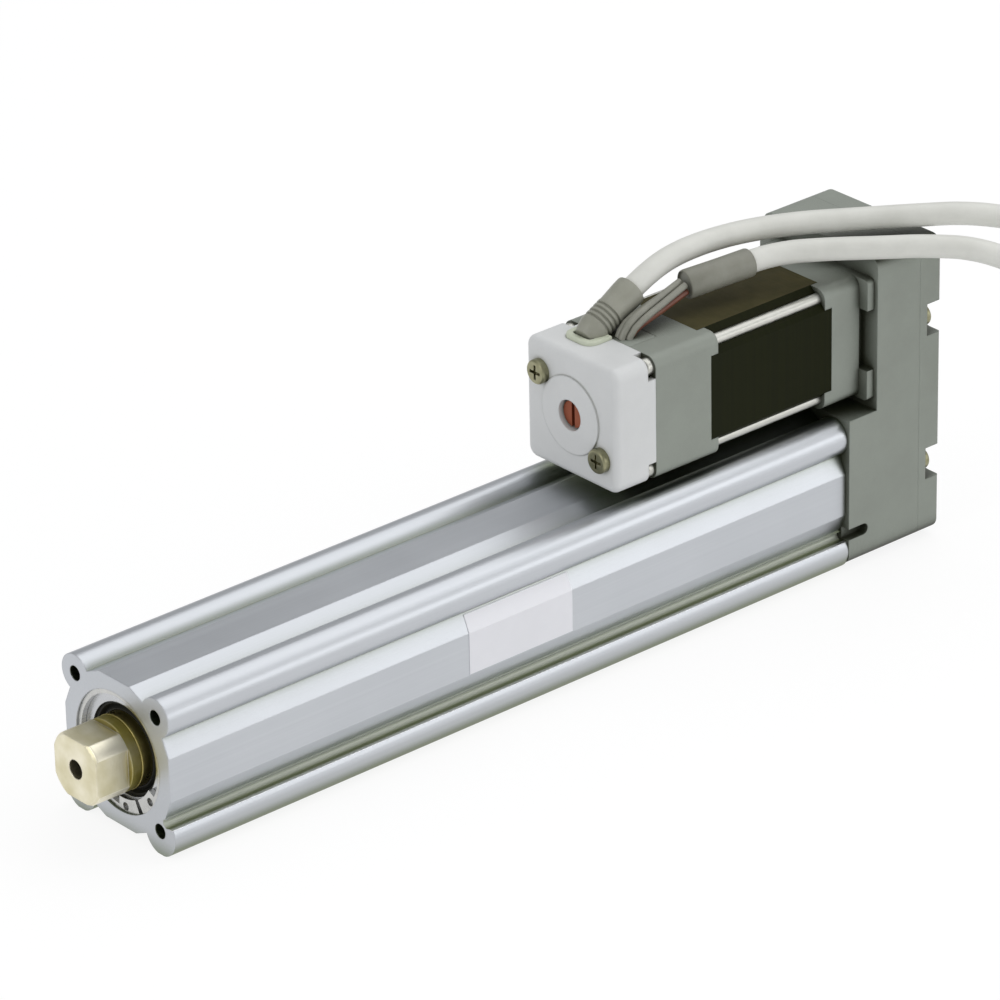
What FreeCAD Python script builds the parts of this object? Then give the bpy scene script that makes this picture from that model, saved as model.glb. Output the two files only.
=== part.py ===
"""Rod-type electric cylinder with its motor alongside, as an assembly of separate pieces.

Frame: origin where the rod's axis meets the front mounting face, +X the way the rod extends,
+Z from the rod's axis to the motor's axis. Millimetres. The rod is drawn in.
"""
import FreeCAD
import Part
import math
import os
from FreeCAD import Vector

# Clearances
seat_gap = 0.05        # radial gap of a piece that sits still in another
running_gap = 0.08     # radial gap of a piece that turns or slides in another
free_gap = 0.3         # gap of faces that pass each other
end_gap = 1.0          # what is left before a bumper at each end of the stroke

# Body tube: an extrusion with four round ribs at its corners
hole_pitch = 25.5      # square of the front mounting holes
mount_hole = 1.65      # tapping radius of an M4 thread
mount_depth = 7.0
rib_radius = 4.25
foot_radius = 4.7      # the two lower ribs are thicker
foot_drop = 0.7        # and stand this much lower than the square of the holes
flat_reach = 16.5      # from the axis to each flat
flat_half = 4.8
facet_slope = 24.0     # degrees between a flat and the facets beside it
foot_cut = 0.12        # taken off the lower ribs for flat feet
bore_radius = 11.8
seat_radius = 12.5     # bore at the rear end, for the bearing housing
nose_radius = 13.3     # bore at the front end, for the rod cover
guide_groove_half = 2.6
guide_groove_reach = 13.6
switch_groove_radius = 1.0
switch_groove_mouth = 1.6
switch_groove_y = 14.8
switch_groove_z = -10.3
base_hole_x = -15.0    # first pair of holes in the underside
base_hole_length = 40.0
base_hole_width = 23.0
base_hole_depth = 5.5
pin_hole_radius = 1.5
pin_hole_depth = 3.0

# Nose: rod cover, bush, seal and retaining ring
nose_recess = 1.7
cover_length = 25.3
seal_radius = 10.1
seal_recess = 0.6
seal_length = 4.0
bush_radius = 9.2
snap_ring_thickness = 1.2
snap_ring_inner = 12.2
snap_groove_radius = 13.85
snap_ear_inner = 10.3
snap_ear_hole = 0.9
snap_gap_middle = -62.0    # degrees from +Y, where the ring is open
snap_gap_half = 3.0
snap_ear_sweep = 29.0
snap_hole_turn = 22.0      # from the middle of the gap to each ear's hole

# Rod and what moves with it
stroke = 100.0
rod_radius = 8.0
rod_bore = 5.2
socket_flats = 13.4    # across each pair of the four milled flats
socket_collar = 2.5
socket_grip = 8.0
socket_stud = 14.0
socket_thread = 2.1    # tapping radius of an M5 thread
socket_thread_depth = 10.0
piston_length = 28.0
piston_nose = 5.5      # thinner front end that takes the magnet
piston_nose_radius = 9.7
magnet_length = 3.2
rod_engagement = 8.5
wear_ring_length = 6.0
wear_ring_depth = 1.3
guide_length = 9.8
guide_seat_radius = 10.0
nut_radius = 7.2
nut_flange = 3.0
nut_flange_radius = 10.6
bumper_thickness = 3.0

# Drive screw and its bearing
screw_radius = 4.0
screw_journal = 3.0
screw_tail = 2.5
screw_shoulder = 4.6
housing_length = 18.0
housing_lip = 2.0
bearing_width = 6.0
bearing_radius = 9.5
bearing_wall = 1.9
bearing_inner_wall = 1.8
ball_radius = 1.72
ball_count = 8
lock_nut_radius = 5.4

# Return box at the rear, its lid, and the belt drive inside
box_width = 35.0
box_wall = 5.0         # wall that the tube is bolted to
box_step = 8.0         # the upper part stands this far behind the lower part
upper_wall = 3.5
belt_room = 9.0
box_head = 18.8        # above the motor's axis
box_lift = 1.4         # underside above the tube's feet
step_rise = 0.6        # top of the lower part above the tube's ribs
box_round = 2.4
plate_thickness = 6.1
plate_round = 0.6
cavity_radius = 11.0
box_screw_inset = 0.4  # the box's screws stand this far inside the front holes' square
plate_screw_inset = 2.9    # from the lid's side to its screws
plate_screw_floor = 2.2
scallop_radius = 3.7
switch_entry_length = 5.6
switch_entry_height = 2.6
switch_entry_rise = 1.0    # middle of the entry above the groove
belt_pitch = 2.0
belt_teeth = 58
pulley_teeth = 24
belt_width = 6.0
belt_thickness = 0.95
belt_tooth_height = 0.75
pulley_flange = 0.8
pulley_flange_rise = 1.8
pulley_hub_radius = 5.5

# Motor
motor_side = 28.0
adapter_thickness = 2.0
adapter_width = 33.0
adapter_notch_half = 7.0
adapter_notch_depth = 4.0
flange_length = 8.0
stack_length = 34.5
cap_length = 15.5
cap_round = 2.5
ear_length = 2.0
corner_cut = 4.5
tie_bolt_offset = 11.6
motor_screw_offset = 11.5
pilot_radius = 11.0
pilot_length = 1.8
shaft_radius = 2.5
rotor_radius = 8.7
rotor_cup = 12.0
pole_count = 8
pole_width = 4.2
pole_root = 12.2
coil_wall = 1.3
coil_overhang = 1.8
motor_bearing_radius = 6.5
motor_bearing_width = 4.0
motor_ball_radius = 1.0

# Motor cover and what it holds
cover_depth = 11.0
cover_round = 2.5
cover_wall = 1.5
cover_front_wall = 1.8
cover_ring_radius = 8.7
cover_ring_rise = 0.4
override_hole = 3.4
override_radius = 3.0
override_length = 2.6
cover_screw_y = 9.3
cover_screw_z = 7.0
encoder_radius = 7.0
board_radius = 8.8
board_thickness = 1.2
outlet_width = 8.7
outlet_right = 0.8     # right-hand edge of the cable outlet
outlet_length = 6.5
wire_notch_depth = 2.5
wire_notch_length = 7.5
wire_notch_right = 6.0

# Leads
cable_radius = 2.5
far_sleeve_radius = 3.5
first_run = 6.5        # how far a lead goes straight on from its sleeve
near_sleeve_radius = 3.2
near_wires_radius = 2.2

# Fasteners, as shank radius, head radius and head height
M3 = (1.5, 2.75, 3.0)
M25 = (1.25, 2.4, 2.0)
M25_LOW = (1.25, 1.9, 1.8)
M25_WIDE = (1.25, 2.7, 1.7)
body_screw_reach = 14.0
plate_screw_reach = 8.0
motor_screw_reach = 9.0
cover_screw_reach = 15.0

# Blank label on the side
label_length = 28.0
label_low = -4.6
label_high = 8.5
label_thickness = 0.12

# Stations along the rod's axis, from the front face to the rear
x_cover_front = -nose_recess
x_cover_rear = x_cover_front - cover_length
x_front_bumper = x_cover_rear - bumper_thickness
x_piston_front = x_front_bumper - end_gap - stroke
x_piston_rear = x_piston_front - piston_length
x_nut_rear = x_piston_rear - nut_flange
x_rear_bumper = x_nut_rear - end_gap
x_housing_front = x_rear_bumper - bumper_thickness
x_tube_rear = x_housing_front - housing_length
x_box_wall = x_tube_rear - box_wall
x_upper_front = x_tube_rear - box_step
x_upper_wall = x_upper_front - upper_wall
x_plate_front = x_upper_wall - belt_room
x_plate_rear = x_plate_front - plate_thickness
x_adapter_front = x_upper_front + adapter_thickness
x_flange_front = x_adapter_front + flange_length
x_stack_front = x_flange_front + stack_length
x_cap_front = x_stack_front + cap_length
x_motor_front = x_cap_front + cover_depth
x_belt_middle = (x_upper_wall + x_plate_front) / 2

# Levels and places worked out from the sizes above
rib_place = hole_pitch / 2
rib_reach = rib_place + rib_radius
foot_reach = rib_place + foot_radius
z_floor = -(foot_reach + foot_drop) + foot_cut
motor_z = (belt_teeth - pulley_teeth) * belt_pitch / 2
motor_half = motor_side / 2
motor_top = motor_z + motor_half
pitch_radius = pulley_teeth * belt_pitch / (2 * math.pi)
pulley_radius = pitch_radius - 0.25
belt_inner = pulley_radius + 0.16
box_top = motor_z + box_head
box_bottom = z_floor + box_lift
box_half = box_width / 2
box_screw_place = rib_place - box_screw_inset
plate_screw_y = box_half - plate_screw_inset
step_top = rib_reach + step_rise
facet_fall = math.tan(math.radians(facet_slope))
corner_reach = (flat_reach + facet_fall * flat_half) / (1 + facet_fall)

RIGHT_LEFT = (1, -1)
parts = {}


def disc(x0, x1, radius, y=0.0, z=0.0):
    """Cylinder along X between two stations."""
    return Part.makeCylinder(radius, abs(x1 - x0), Vector(min(x0, x1), y, z), Vector(1, 0, 0))


def ring(x0, x1, outer, inner, y=0.0, z=0.0):
    """Tube along X between two stations."""
    return disc(x0, x1, outer, y, z).cut(disc(x0, x1, inner, y, z))


def block(x0, x1, y0, y1, z0, z1):
    """Box between two corners."""
    corner = Vector(min(x0, x1), min(y0, y1), min(z0, z1))
    return Part.makeBox(abs(x1 - x0), abs(y1 - y0), abs(z1 - z0), corner)


def prism(points, x0, x1):
    """Outline in Y and Z, extruded along X."""
    corners = [Vector(min(x0, x1), y, z) for y, z in points]
    face = Part.Face(Part.makePolygon(corners + corners[:1]))
    return face.extrude(Vector(abs(x1 - x0), 0, 0))


def turned(points, y=0.0, z=0.0):
    """Outline of stations and radii, turned about an axis along X."""
    corners = [Vector(x, y, z + r) for x, r in points]
    face = Part.Face(Part.makePolygon(corners + corners[:1]))
    return face.revolve(Vector(0, y, z), Vector(1, 0, 0), 360)


def hexagon(x0, x1, flats, y=0.0, z=0.0):
    """Hexagonal bar along X."""
    reach = flats / 2 / math.cos(math.pi / 6)
    turns = [math.radians(60 * k) for k in range(6)]
    return prism([(y + reach * math.cos(t), z + reach * math.sin(t)) for t in turns], x0, x1)


def long_edges(shape):
    """Straight edges that run along X."""
    return [e for e in shape.Edges if len(e.Vertexes) == 2
            and abs(e.Vertexes[0].Point.x - e.Vertexes[1].Point.x) > e.Length * 0.999]


def rounded_bar(x0, x1, half, middle_z, radius):
    """Square bar along X with rounded corners."""
    bar = block(x0, x1, -half, half, middle_z - half, middle_z + half)
    return bar.makeFillet(radius, long_edges(bar))


def all_of(shapes):
    """One solid out of overlapping or touching ones."""
    return shapes[0].fuse(shapes[1:]).removeSplitter()


def square(offset):
    """The four corners of a square about an axis."""
    return [(y * offset, z * offset) for y in RIGHT_LEFT for z in RIGHT_LEFT]


def screw(seat, toward, y, z, size, reach, drive="cross"):
    """Screw along X: its head stands on the seat towards one side, its shank goes to the other."""
    shank, head, height = size
    top = seat + toward * height
    knob = disc(seat, top, head, y, z)
    rim = [e for e in knob.Edges if abs(e.CenterOfMass.x - top) < 1e-6 and e.Closed]
    knob = knob.makeFillet(0.3 * height, rim)
    if drive == "hex":
        knob = knob.cut(hexagon(top, top - toward * height * 0.6, head * 0.9, y, z))
    else:
        slot_half = head * 0.12
        arm = head * 0.6
        floor = top - toward * height * 0.5
        knob = knob.cut(block(floor, top, y - arm, y + arm, z - slot_half, z + slot_half))
        knob = knob.cut(block(floor, top, y - slot_half, y + slot_half, z - arm, z + arm))
    return all_of([knob, disc(seat, seat - toward * reach, shank, y, z)])


def ball_bearing(x0, x1, outer, outer_wall, inner, inner_wall, ball, count, z=0.0):
    """Outer ring, inner ring and balls of one row, with raceways a little wider than the balls."""
    middle = (x0 + x1) / 2
    pitch = (outer - outer_wall + inner + inner_wall) / 2
    race = Part.makeTorus(pitch, ball + running_gap, Vector(middle, 0, z), Vector(1, 0, 0))
    outer_ring = ring(x0, x1, outer, outer - outer_wall, 0, z).cut(race)
    inner_ring = ring(x0, x1, inner + inner_wall, inner, 0, z).cut(race)
    balls = []
    for k in range(count):
        turn = 2 * math.pi * k / count
        place = Vector(middle, pitch * math.cos(turn), z + pitch * math.sin(turn))
        balls.append(Part.makeSphere(ball, place))
    return outer_ring, inner_ring, balls


def stadium(x0, x1, radius):
    """Round-ended bar that spans the screw's axis and the motor's axis."""
    waist = block(x0, x1, -radius, radius, 0, motor_z)
    return all_of([disc(x0, x1, radius), disc(x0, x1, radius, 0, motor_z), waist])


def make_body_tube():
    """Extruded tube: flats, facets and corner ribs outside, bores and grooves inside."""
    upper = [(-flat_half, flat_reach), (flat_half, flat_reach), (corner_reach, corner_reach)]
    right = [(flat_reach, flat_half), (flat_reach, -flat_half), (corner_reach, -corner_reach)]
    lower = [(flat_half, -flat_reach), (-flat_half, -flat_reach), (-corner_reach, -corner_reach)]
    left = [(-flat_reach, -flat_half), (-flat_reach, flat_half), (-corner_reach, corner_reach)]
    core = prism(upper + right + lower + left, x_tube_rear, 0)
    ribs = [disc(x_tube_rear, 0, rib_radius, side * rib_place, rib_place) for side in RIGHT_LEFT]
    foot_level = -rib_place - foot_drop
    ribs += [disc(x_tube_rear, 0, foot_radius, side * rib_place, foot_level) for side in RIGHT_LEFT]
    tube = all_of([core] + ribs)
    tube = tube.cut(block(x_tube_rear, 0, -foot_reach, foot_reach, z_floor, z_floor - foot_radius))
    cuts = [disc(x_tube_rear, 0, bore_radius)]
    cuts += [disc(x_cover_rear, 0, nose_radius), disc(x_tube_rear, x_housing_front, seat_radius)]
    groove_slack = seat_gap
    groove_front = x_cover_front + snap_ring_thickness + 2 * groove_slack
    cuts.append(disc(x_cover_front, groove_front, snap_groove_radius))
    cuts.append(block(x_housing_front, x_cover_rear, -guide_groove_reach, guide_groove_reach,
                      -guide_groove_half, guide_groove_half))
    cuts += [disc(-mount_depth, 0, mount_hole, y, z) for y, z in square(rib_place)]
    x_thread_end = x_box_wall + body_screw_reach + end_gap
    cuts += [disc(x_tube_rear, x_thread_end, M3[0] + seat_gap, y, z) for y, z in square(box_screw_place)]
    for side in RIGHT_LEFT:
        mouth = (switch_groove_z - switch_groove_mouth / 2, switch_groove_z + switch_groove_mouth / 2)
        cuts.append(disc(x_tube_rear, 0, switch_groove_radius, side * switch_groove_y, switch_groove_z))
        cuts.append(block(x_tube_rear, 0, side * switch_groove_y, side * foot_reach, *mouth))
        for x in (base_hole_x, base_hole_x - base_hole_length):
            foot = Vector(x, side * base_hole_width / 2, z_floor)
            cuts.append(Part.makeCylinder(mount_hole, base_hole_depth, foot, Vector(0, 0, 1)))
    pin = Vector(base_hole_x - base_hole_length / 2, 0, -flat_reach)
    cuts.append(Part.makeCylinder(pin_hole_radius, pin_hole_depth, pin, Vector(0, 0, 1)))
    return tube.cut(cuts)


def wedge(first, last, x0, x1, reach):
    """Slice between two angles from +Y, about the rod's axis."""
    turns = [math.radians(first), math.radians(last)]
    return prism([(0, 0)] + [(reach * math.cos(t), reach * math.sin(t)) for t in turns], x0, x1)


def make_nose():
    """Rod cover with its bush and seal, and the spring ring that keeps it in the tube."""
    x_seal_rear = x_cover_front - seal_length
    cover = disc(x_cover_rear, x_cover_front, nose_radius - seat_gap)
    seats = [disc(x_seal_rear, x_cover_front, seal_radius), disc(x_cover_rear, x_seal_rear, bush_radius)]
    parts["rod_cover"] = cover.cut(seats)
    parts["rod_bush"] = ring(x_cover_rear, x_seal_rear, bush_radius - seat_gap, rod_radius + running_gap)
    lip = rod_radius + running_gap
    rim = seal_radius - seat_gap
    web = (lip + rim) / 2
    x_seal_front = x_cover_front - seal_recess
    parts["rod_seal"] = turned([(x_seal_rear, lip), (x_seal_rear, rim), (x_seal_front, rim),
                                (x_seal_front, web + 0.4), (x_seal_front - 1.2, web),
                                (x_seal_front - 0.2, lip + 0.3), (x_seal_front - 0.2, lip)])
    x_ring = (x_cover_front + seat_gap, x_cover_front + seat_gap + snap_ring_thickness)
    outer = snap_groove_radius - seat_gap
    snap = ring(*x_ring, outer, snap_ring_inner)
    ear_ring = ring(*x_ring, outer, snap_ear_inner)
    for side in RIGHT_LEFT:
        near_gap = snap_gap_middle + side * snap_gap_half
        ear = ear_ring.common(wedge(near_gap, near_gap + side * snap_ear_sweep, *x_ring, 2 * outer))
        turn = math.radians(snap_gap_middle + side * snap_hole_turn)
        reach = (snap_ear_inner + outer) / 2
        hole = disc(*x_ring, snap_ear_hole, reach * math.cos(turn), reach * math.sin(turn))
        snap = all_of([snap, ear]).cut(hole)
    gap = wedge(snap_gap_middle - snap_gap_half, snap_gap_middle + snap_gap_half, *x_ring, 2 * outer)
    snap = snap.cut(gap)
    parts["retaining_ring"] = snap


def make_bumpers():
    """Cushions that stop the piston at both ends."""
    outer = bore_radius - seat_gap
    parts["front_bumper"] = ring(x_front_bumper, x_cover_rear, outer, rod_radius + free_gap)
    parts["rear_bumper"] = ring(x_housing_front, x_rear_bumper, outer, screw_shoulder + 1.5)


def make_rod():
    """Hollow rod with the wrench socket screwed into its end."""
    x_rod_rear = x_piston_front - rod_engagement + seat_gap
    parts["piston_rod"] = ring(x_rod_rear, 0, rod_radius, rod_bore)
    x_end = socket_collar + socket_grip
    half = socket_flats / 2
    full = rod_radius - seat_gap
    bevel = 0.6
    bar = turned([(0, 0), (0, full), (x_end - bevel, full), (x_end, full - bevel), (x_end, 0)])
    flats = block(socket_collar, x_end, -half, half, -half, half)
    stud = disc(-socket_stud, 0, rod_bore - seat_gap)
    socket = all_of([disc(0, socket_collar, full), bar.common(flats), stud])
    parts["rod_socket"] = socket.cut(disc(x_end - socket_thread_depth, x_end, socket_thread))


def make_piston():
    """Piston that joins the nut to the rod, with its magnet, wear ring and turning stop."""
    x_nose_rear = x_piston_front - piston_nose
    x_rod_seat = x_piston_front - rod_engagement
    x_guide_front = x_piston_rear + guide_length
    x_wear_front = (x_nose_rear + x_guide_front + wear_ring_length) / 2
    x_wear_rear = x_wear_front - wear_ring_length
    body_radius = bore_radius - free_gap
    wear_seat = bore_radius - wear_ring_depth
    outline = [(x_piston_rear, nut_radius + seat_gap), (x_piston_rear, guide_seat_radius),
               (x_guide_front, guide_seat_radius), (x_guide_front, body_radius),
               (x_wear_rear, body_radius), (x_wear_rear, wear_seat),
               (x_wear_front, wear_seat), (x_wear_front, body_radius),
               (x_nose_rear, body_radius), (x_nose_rear, piston_nose_radius),
               (x_piston_front, piston_nose_radius), (x_piston_front, rod_radius + seat_gap),
               (x_rod_seat, rod_radius + seat_gap), (x_rod_seat, nut_radius + seat_gap)]
    parts["piston"] = turned(outline)
    x_magnet_front = x_nose_rear + magnet_length
    nose_fit = piston_nose_radius + seat_gap
    parts["magnet"] = ring(x_nose_rear, x_magnet_front, body_radius - seat_gap, nose_fit)
    parts["magnet_holder"] = ring(x_magnet_front, x_piston_front, body_radius, nose_fit)
    x_wear = (x_wear_rear + seat_gap, x_wear_front - seat_gap)
    wear = ring(*x_wear, bore_radius - running_gap, wear_seat + seat_gap)
    split = block(x_wear_rear, x_wear_front, -0.5, 0.5, 0, bore_radius)
    parts["wear_ring"] = wear.cut(split)
    x_guide = (x_piston_rear + seat_gap, x_guide_front - seat_gap)
    key_reach = guide_groove_reach - free_gap
    key_half = guide_groove_half - running_gap
    key = block(*x_guide, -key_reach, key_reach, -key_half, key_half)
    guide = all_of([disc(*x_guide, body_radius), key])
    parts["rotation_guide"] = guide.cut(disc(*x_guide, guide_seat_radius + seat_gap))
    x_nut_front = x_rod_seat - seat_gap
    barrel = disc(x_piston_rear, x_nut_front, nut_radius)
    flange = disc(x_nut_rear, x_piston_rear, nut_flange_radius)
    bore = disc(x_nut_rear, x_nut_front, screw_radius + running_gap)
    parts["ball_nut"] = all_of([barrel, flange]).cut(bore)


def make_screw_drive():
    """Screw, its double bearing in the housing at the tube's end, and the nuts that clamp them."""
    x_bearing_front = x_housing_front - housing_lip
    x_bearing_rear = x_bearing_front - 2 * bearing_width
    x_tail_front = x_tube_rear - free_gap
    x_tail_rear = x_plate_front + free_gap * 2
    x_screw_front = x_front_bumper - 2 * end_gap
    thread = disc(x_housing_front, x_screw_front, screw_radius)
    shoulder = disc(x_bearing_front, x_housing_front, screw_shoulder)
    journal = disc(x_tail_front, x_bearing_front, screw_journal)
    tail = disc(x_tail_rear, x_tail_front, screw_tail)
    parts["drive_screw"] = all_of([thread, shoulder, journal, tail])
    housing = disc(x_tube_rear, x_housing_front, seat_radius - seat_gap)
    housing = housing.cut([disc(x_tube_rear, x_bearing_front, bearing_radius + seat_gap),
                           disc(x_bearing_front, x_housing_front, screw_shoulder + 1.5)])
    parts["bearing_housing"] = housing
    rings = {"outer": [], "inner": [], "balls": []}
    for x in (x_bearing_front, x_bearing_front - bearing_width):
        outer_ring, inner_ring, balls = ball_bearing(
            x - bearing_width, x, bearing_radius, bearing_wall, screw_journal + seat_gap,
            bearing_inner_wall, ball_radius, ball_count)
        rings["outer"].append(outer_ring)
        rings["inner"].append(inner_ring)
        rings["balls"] += balls
    parts["bearing_outer_rings"] = Part.makeCompound(rings["outer"])
    parts["bearing_inner_rings"] = Part.makeCompound(rings["inner"])
    parts["bearing_balls"] = Part.makeCompound(rings["balls"])
    x_stopper = (x_tube_rear, x_bearing_rear)
    parts["bearing_stopper"] = ring(*x_stopper, bearing_radius, bearing_radius - bearing_wall)
    nut = hexagon(*x_stopper, 2 * lock_nut_radius * math.cos(math.pi / 6))
    parts["lock_nut"] = nut.cut(disc(*x_stopper, screw_journal + seat_gap))


def soften(shape):
    """Round the upper and lower edges of the box or its lid."""
    edges = [e for e in long_edges(shape) if abs(abs(e.CenterOfMass.y) - box_half) < 1e-6
             and min(abs(e.CenterOfMass.z - box_top), abs(e.CenterOfMass.z - box_bottom)) < 1e-6]
    return shape.makeFillet(box_round, edges)


def make_return_box():
    """Box behind the tube and the motor, open to the rear for the belt drive."""
    lower = block(x_plate_front, x_tube_rear, -box_half, box_half, box_bottom, step_top)
    upper = block(x_plate_front, x_upper_front, -box_half, box_half, box_bottom, box_top)
    box = all_of([lower, upper])
    box = soften(box)
    cuts = [stadium(x_plate_front, x_upper_wall, cavity_radius)]
    cuts.append(disc(x_plate_front, x_box_wall, cavity_radius))
    cuts.append(disc(x_box_wall, x_tube_rear, bearing_radius - bearing_wall))
    pulley_hole = pulley_radius + pulley_flange_rise + free_gap
    cuts.append(disc(x_plate_front, x_upper_front, pulley_hole, 0, motor_z))
    for y, z in square(box_screw_place):
        cuts.append(disc(x_box_wall, x_tube_rear, M3[0] + seat_gap, y, z))
        cuts.append(disc(x_plate_front, x_box_wall, M3[1] + 2 * running_gap, y, z))
    for y, z in square(motor_screw_offset):
        cuts.append(disc(x_upper_wall, x_upper_front, M25[0] + seat_gap, y, motor_z + z))
        cuts.append(disc(x_plate_front, x_upper_wall, M25[1] + 2 * running_gap, y, motor_z + z))
    for side in RIGHT_LEFT:
        for z in (0, motor_z):
            x_thread_end = x_plate_front + plate_screw_reach
            cuts.append(disc(x_plate_front, x_thread_end, M25[0] + seat_gap, side * plate_screw_y, z))
        cuts.append(switch_entry(side))
    return box.cut(cuts)


def switch_entry(side):
    """Round-ended notch in the box's side, where a switch slides into the tube's groove."""
    half = switch_entry_height / 2
    level = switch_groove_z + switch_entry_rise
    x_round = x_tube_rear - switch_entry_length + half
    root = side * (switch_groove_y + 0.4)
    outside = side * (box_half + 1)
    slot = block(x_round, x_tube_rear, root, outside, level - half, level + half)
    middle = Vector(x_round, root, level)
    end = Part.makeCylinder(half, abs(outside - root), middle, Vector(0, side, 0))
    return slot.fuse(end)


def make_return_plate():
    """Lid of the return box, scalloped at its sides for the screws."""
    plate = block(x_plate_rear, x_plate_front, -box_half, box_half, box_bottom, box_top)
    plate = soften(plate)
    back = [e for e in plate.Edges if abs(e.CenterOfMass.x - x_plate_rear) < 1e-6]
    plate = plate.makeFillet(plate_round, back)
    x_seat = x_plate_front - plate_screw_floor
    cuts = []
    for side in RIGHT_LEFT:
        for z in (0, motor_z):
            place = (side * plate_screw_y, z)
            cuts.append(disc(x_plate_rear, x_seat, scallop_radius, *place))
            cuts.append(block(x_plate_rear, x_seat, side * plate_screw_y, side * (box_half + 1),
                              z - scallop_radius, z + scallop_radius))
            cuts.append(disc(x_seat, x_plate_front, M25[0] + seat_gap, *place))
    return plate.cut(cuts)


def make_box_screws():
    """Screws of the tube, of the lid and of the motor, each a group."""
    body = [screw(x_box_wall, -1, y, z, M3, body_screw_reach, "hex") for y, z in square(box_screw_place)]
    x_seat = x_plate_front - plate_screw_floor
    plate = [screw(x_seat, -1, side * plate_screw_y, z, M25, plate_screw_reach)
             for side in RIGHT_LEFT for z in (0, motor_z)]
    motor = [screw(x_upper_wall, -1, y, motor_z + z, M25, motor_screw_reach, "hex")
             for y, z in square(motor_screw_offset)]
    parts["body_screws"] = Part.makeCompound(body)
    parts["plate_screws"] = Part.makeCompound(plate)
    parts["motor_screws"] = Part.makeCompound(motor)


def pulley(z, shaft, hub_front):
    """Toothed wheel with a flange at each side and a hub towards the front."""
    half = belt_width / 2 + running_gap * 2
    x0, x1 = x_belt_middle - half, x_belt_middle + half
    wheel = disc(x0, x1, pulley_radius, 0, z)
    gaps = []
    for k in range(pulley_teeth):
        turn = 2 * math.pi * (k + 0.5) / pulley_teeth
        place = (pulley_radius * math.cos(turn), z + pulley_radius * math.sin(turn))
        gaps.append(disc(x0, x1, belt_pitch * 0.27, *place))
    wheel = wheel.cut(gaps)
    rim = pulley_radius + pulley_flange_rise
    flanges = [disc(x0 - pulley_flange, x0, rim, 0, z), disc(x1, x1 + pulley_flange, rim, 0, z)]
    hub = disc(x1, hub_front, pulley_hub_radius, 0, z)
    return all_of([wheel, hub] + flanges).cut(disc(x0 - pulley_flange, hub_front, shaft + seat_gap, 0, z))


def make_belt_drive():
    """Two equal pulleys and the belt round them."""
    x_wheel_front = x_belt_middle + belt_width / 2 + running_gap * 2 + pulley_flange
    parts["screw_pulley"] = pulley(0, screw_tail, x_box_wall - free_gap)
    parts["motor_pulley"] = pulley(motor_z, shaft_radius, x_wheel_front + free_gap)
    x0, x1 = x_belt_middle - belt_width / 2, x_belt_middle + belt_width / 2
    band = stadium(x0, x1, belt_inner + belt_thickness).cut(stadium(x0, x1, belt_inner))
    teeth = []
    tooth_half = belt_pitch * 0.25
    count = int((motor_z - 2 * pulley_radius) / belt_pitch) + 4
    first = (motor_z - (count - 1) * belt_pitch) / 2
    for side in RIGHT_LEFT:
        for k in range(count):
            z = first + k * belt_pitch
            teeth.append(block(x0, x1, side * (belt_inner - belt_tooth_height), side * (belt_inner + 0.1),
                               z - tooth_half, z + tooth_half))
    parts["drive_belt"] = all_of([band] + teeth)


def stack_outline(grow=0.0):
    """Square with its corners cut off, about the motor's axis."""
    edge = motor_half + grow
    cut = edge - corner_cut
    right_top = [(edge, cut), (cut, edge)]
    left_top = [(-cut, edge), (-edge, cut)]
    left_bottom = [(-edge, -cut), (-cut, -edge)]
    right_bottom = [(cut, -edge), (edge, -cut)]
    return [(y, motor_z + z) for y, z in right_top + left_top + left_bottom + right_bottom]


def cover_screw_places():
    """The cover's two screws, at opposite corners."""
    return [(-side * cover_screw_y, motor_z + side * cover_screw_z) for side in RIGHT_LEFT]


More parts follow.
